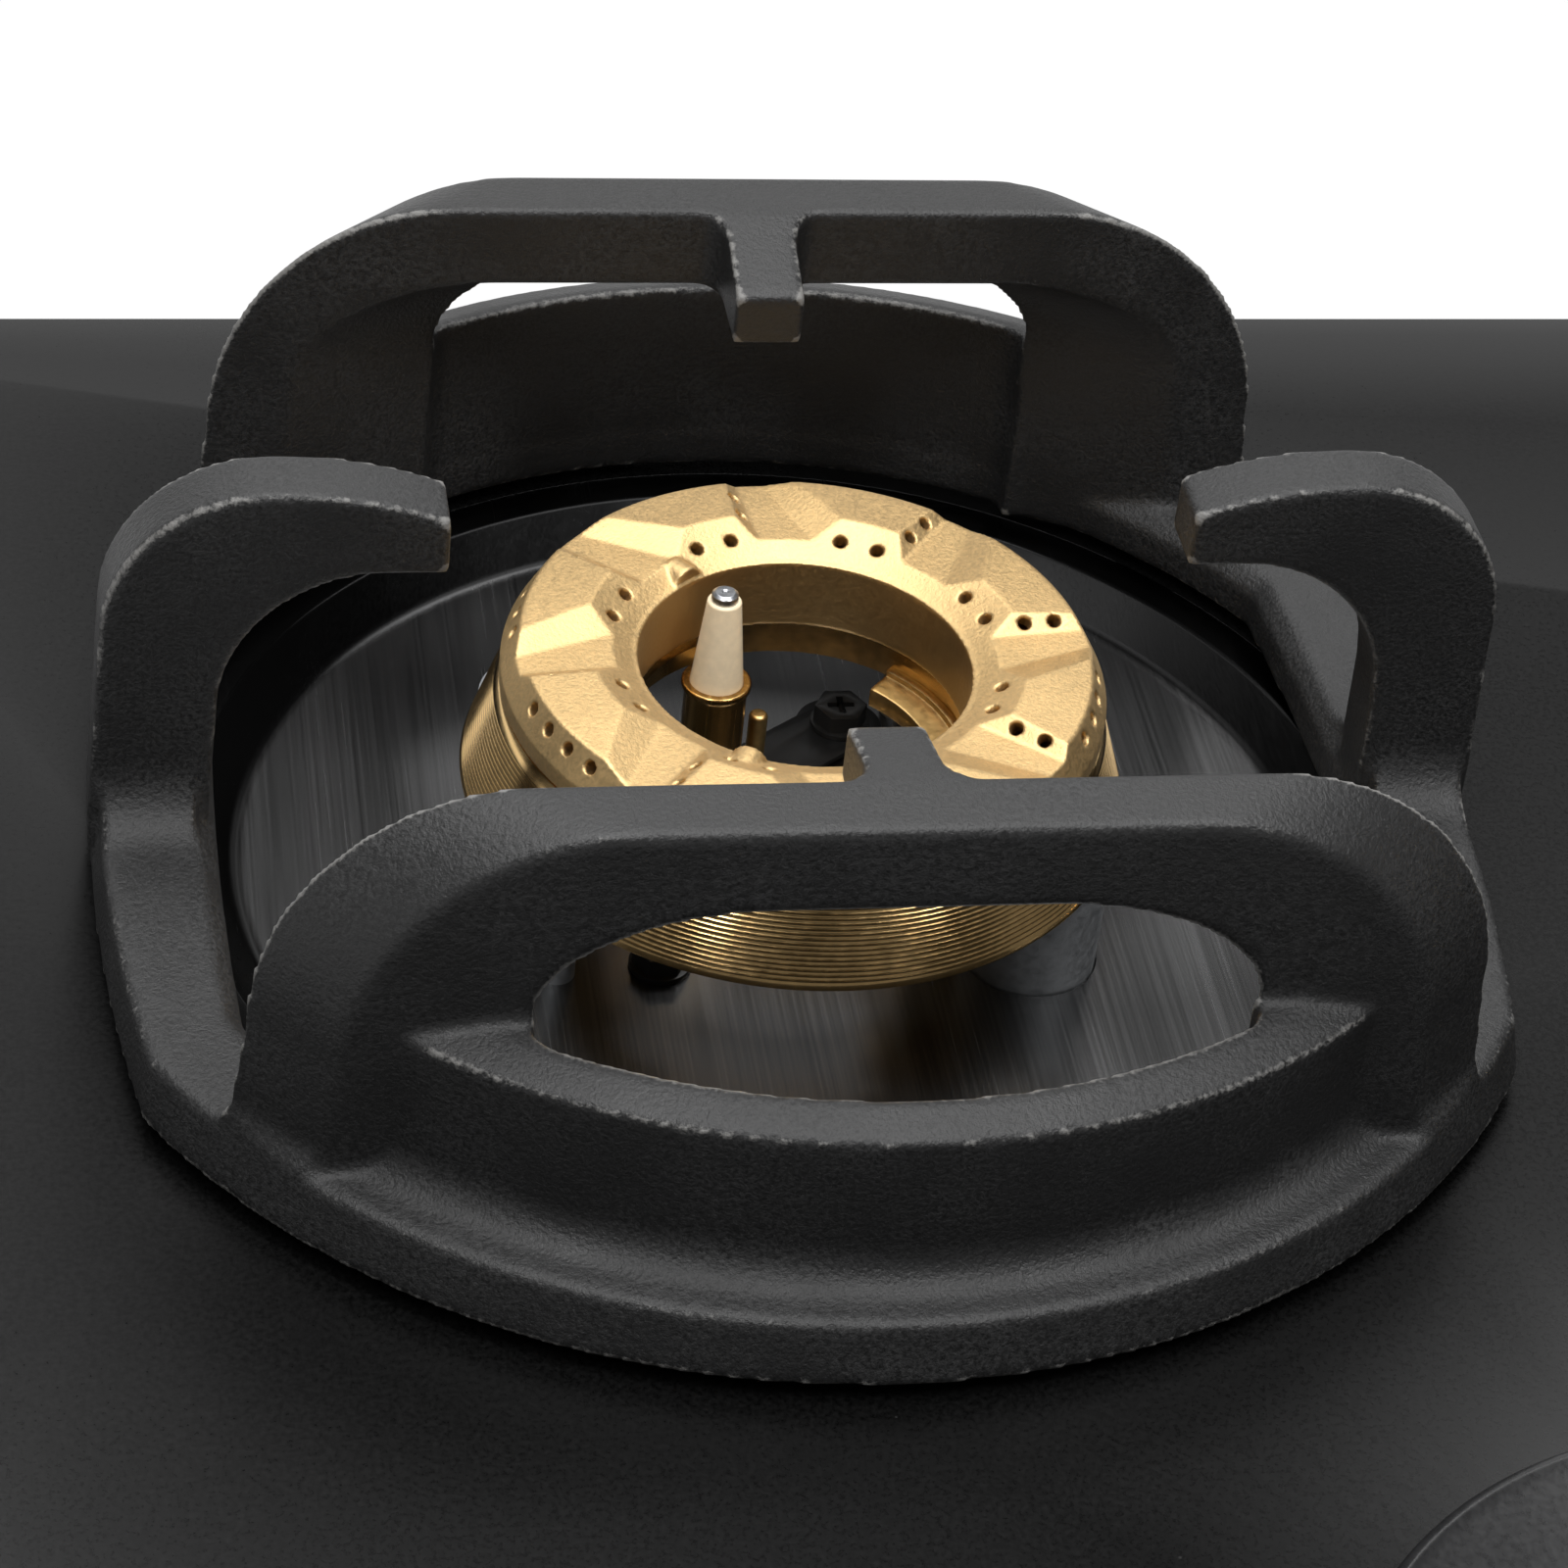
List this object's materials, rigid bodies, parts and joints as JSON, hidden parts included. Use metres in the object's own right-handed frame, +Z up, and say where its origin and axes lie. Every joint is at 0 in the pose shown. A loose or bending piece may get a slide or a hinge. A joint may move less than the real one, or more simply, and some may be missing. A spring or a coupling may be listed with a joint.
{
  "type": "gas cooktop",
  "caption": "Built-in gas hob with two brass ring burners in steel drip trays under cast pan supports, on black glass with two front knobs.",
  "frame": {"origin": "on the table under the middle of the glass top", "axes": "+X to the right seen from the user, +Y to the back, +Z up"},
  "size_m": [0.76, 0.45, 0.1535],
  "materials": {
    "black_glass": "polished",
    "foam": "matt",
    "case_steel": "satin",
    "feet_rubber": "matt",
    "zinc_screws": "satin",
    "zinc_sheet": "satin",
    "black_cast_iron": "matt enamel, cast grain",
    "blasted_brass": "sandblasted",
    "turned_brass": "turned",
    "cast_aluminium": "as cast",
    "black_steel": "brushed, black",
    "ceramic": "glazed",
    "electrode_metal": "satin",
    "black_sheet": "matt black",
    "black_screws": "blackened",
    "pipe_aluminium": "drawn",
    "tap_brass": "as forged",
    "tap_steel": "satin",
    "knob_black": "satin",
    "dish_black": "anodised, spun",
    "rail_steel": "satin",
    "switch_plastic": "moulded",
    "lead_red": "silicone",
    "lead_copper": "bare copper",
    "lead_black": "silicone",
    "module_white": "moulded",
    "battery_sleeve": "plain sleeve"
  },
  "bodies": {
    "hob": {"glass_top": "black_glass", "glass_seal": "foam", "bottom_case": "case_steel", "case_feet": "feet_rubber", "case_screws": "zinc_screws", "burner_rails": "zinc_sheet", "left_burner_body": "turned_brass", "right_burner_body": "turned_brass", "left_burner_base": "cast_aluminium", "right_burner_base": "cast_aluminium", "left_drip_tray": "black_steel", "right_drip_tray": "black_steel", "left_electrode_ceramic": "ceramic", "right_electrode_ceramic": "ceramic", "left_electrode_tip": "electrode_metal", "right_electrode_tip": "electrode_metal", "left_electrode_sleeve": "turned_brass", "right_electrode_sleeve": "turned_brass", "left_thermocouple": "turned_brass", "right_thermocouple": "turned_brass", "left_electrode_bracket": "black_sheet", "right_electrode_bracket": "black_sheet", "tray_screws": "black_screws", "left_injector": "turned_brass", "right_injector": "turned_brass", "left_gas_pipe": "pipe_aluminium", "right_gas_pipe": "pipe_aluminium", "left_tap_body": "tap_brass", "right_tap_body": "tap_brass", "tap_bonnets": "tap_steel", "left_knob_dish": "dish_black", "right_knob_dish": "dish_black", "tap_switches": "switch_plastic", "gas_rail": "rail_steel", "rail_clips": "zinc_sheet", "gas_inlet": "turned_brass", "inlet_nut": "tap_steel", "ignition_leads": "lead_red", "thermocouple_leads": "lead_copper", "wiring_harness": "lead_black", "igniter_module": "module_white", "battery_box": "switch_plastic", "battery": "battery_sleeve", "worktop_clamps": "zinc_sheet", "clamp_screws": "zinc_screws"},
    "left_support": {"left_pan_support": "black_cast_iron", "left_support_pads": "feet_rubber"},
    "right_support": {"right_pan_support": "black_cast_iron", "right_support_pads": "feet_rubber"},
    "left_cap": {"left_burner_cap": "blasted_brass"},
    "right_cap": {"right_burner_cap": "blasted_brass"},
    "left_plug": {"left_tap_plug": "tap_brass"},
    "right_plug": {"right_tap_plug": "tap_brass"},
    "left_knob": {"left_knob": "knob_black", "left_tap_stem": "tap_steel"},
    "right_knob": {"right_knob": "knob_black", "right_tap_stem": "tap_steel"},
    "lid": {"battery_lid": "switch_plastic"}
  },
  "joints": [
    {"name": "left_tap_turn", "type": "hinge", "parent": "hob", "child": "left_plug", "pos_m": [-0.088, -0.142, 0.04], "axis": [0, 0, 1], "range_deg": [0, 190]},
    {"name": "left_knob_press", "type": "slide", "parent": "left_plug", "child": "left_knob", "axis": [0, 0, -1], "range_m": [0, 0.0035], "stiffness_N_per_m": 600, "springref_m": -0.003},
    {"name": "left_support_lift", "type": "slide", "parent": "hob", "child": "left_support", "axis": [0, 0, 1], "range_m": [0, 0.12]},
    {"name": "left_cap_lift", "type": "slide", "parent": "hob", "child": "left_cap", "axis": [0, 0, 1], "range_m": [0, 0.08]},
    {"name": "right_tap_turn", "type": "hinge", "parent": "hob", "child": "right_plug", "pos_m": [0.088, -0.142, 0.04], "axis": [0, 0, 1], "range_deg": [0, 190]},
    {"name": "right_knob_press", "type": "slide", "parent": "right_plug", "child": "right_knob", "axis": [0, 0, -1], "range_m": [0, 0.0035], "stiffness_N_per_m": 600, "springref_m": -0.003},
    {"name": "right_support_lift", "type": "slide", "parent": "hob", "child": "right_support", "axis": [0, 0, 1], "range_m": [0, 0.12]},
    {"name": "right_cap_lift", "type": "slide", "parent": "hob", "child": "right_cap", "axis": [0, 0, 1], "range_m": [0, 0.08]},
    {"name": "battery_lid_slide", "type": "slide", "parent": "hob", "child": "lid", "axis": [1, 0, 0], "range_m": [0, 0.062]}
  ]
}
